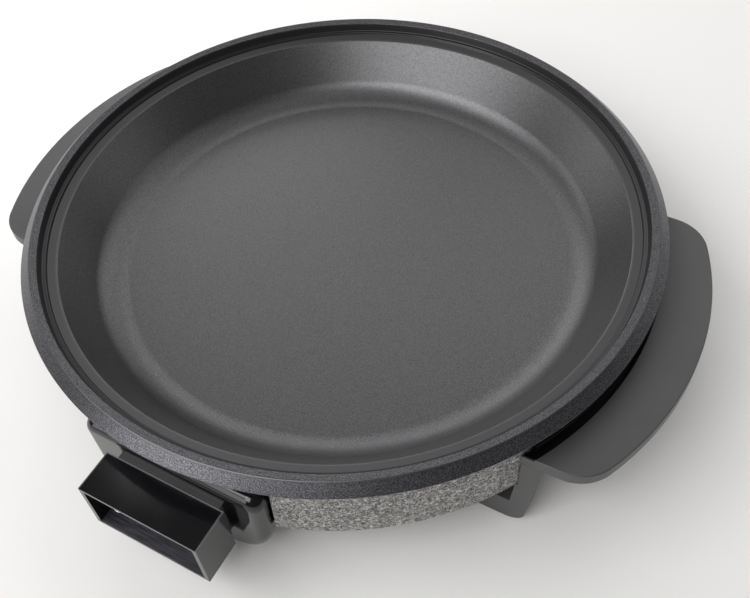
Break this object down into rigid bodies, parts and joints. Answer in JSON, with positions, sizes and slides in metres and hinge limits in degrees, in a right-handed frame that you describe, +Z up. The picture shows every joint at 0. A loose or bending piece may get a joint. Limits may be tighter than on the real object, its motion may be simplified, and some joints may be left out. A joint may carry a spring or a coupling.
{
  "type": "electric skillet",
  "caption": "Round electric skillet: a shallow non-stick pan that lifts off a legged heater base with side handles and a plug-in inlet.",
  "frame": {"origin": "on the table under the pan's axis, in the plane of the foot pads' undersides", "axes": "+Z up; -Y towards the inlet, the way the plug leaves; +X towards one handle, -X towards the other"},
  "size_m": [0.459, 0.422, 0.1009],
  "materials": {
    "pan_coating": "cast aluminium under a dark non-stick coating, satin",
    "ring_paint": "hammered silver-grey paint",
    "soft_edging": "matte",
    "plate_steel": "zinc-plated sheet",
    "reflector_sheet": "bright sheet",
    "heater_metal": "as cast, machined on top",
    "sheath": "heat-darkened",
    "ceramic": "unglazed",
    "brass": "plain",
    "contact_metal": "nickel plated",
    "block_resin": "moulded",
    "gloss_black": "glossy moulding",
    "handle_black": "fine matte moulding",
    "screw_steel": "zinc plated",
    "lead_red": "silicone",
    "lead_blue": "silicone",
    "pad_rubber": "matte"
  },
  "bodies": {
    "base": {"body_ring": "ring_paint", "ring_gasket": "soft_edging", "bottom_plate": "plate_steel", "heat_reflector": "reflector_sheet", "heater_plate": "heater_metal", "heater_posts": "plate_steel", "heater_screws": "screw_steel", "heating_element": "sheath", "element_clips": "plate_steel", "element_bushes": "ceramic", "probe_sleeve": "brass", "probe_clamp": "heater_metal", "clamp_screws": "screw_steel", "earth_pin": "contact_metal", "line_pin": "contact_metal", "neutral_pin": "contact_metal", "contact_nuts": "brass", "pin_block": "block_resin", "inlet_screws": "screw_steel", "inlet_housing": "gloss_black", "inlet_shroud": "gloss_black", "housing_cover": "handle_black", "cover_screws": "screw_steel", "housing_screws": "screw_steel", "terminal_shield": "plate_steel", "shield_screws": "screw_steel", "line_lead": "lead_red", "thermal_fuse": "ceramic", "neutral_lead": "lead_blue", "earth_strap": "brass", "earth_screw": "screw_steel", "handle_right": "handle_black", "handle_left": "handle_black", "leg_front_right": "handle_black", "leg_rear_right": "handle_black", "leg_front_left": "handle_black", "leg_rear_left": "handle_black", "handle_bracket_right": "plate_steel", "handle_bracket_left": "plate_steel", "handle_screws": "screw_steel", "leg_screws": "screw_steel", "leg_nuts": "brass", "foot_pads": "pad_rubber"},
    "pan": {"pan": "pan_coating"}
  },
  "joints": [
    {"name": "pan_lift", "type": "slide", "parent": "base", "child": "pan", "axis": [0, 0, 1], "range_m": [0, 0.12]}
  ]
}
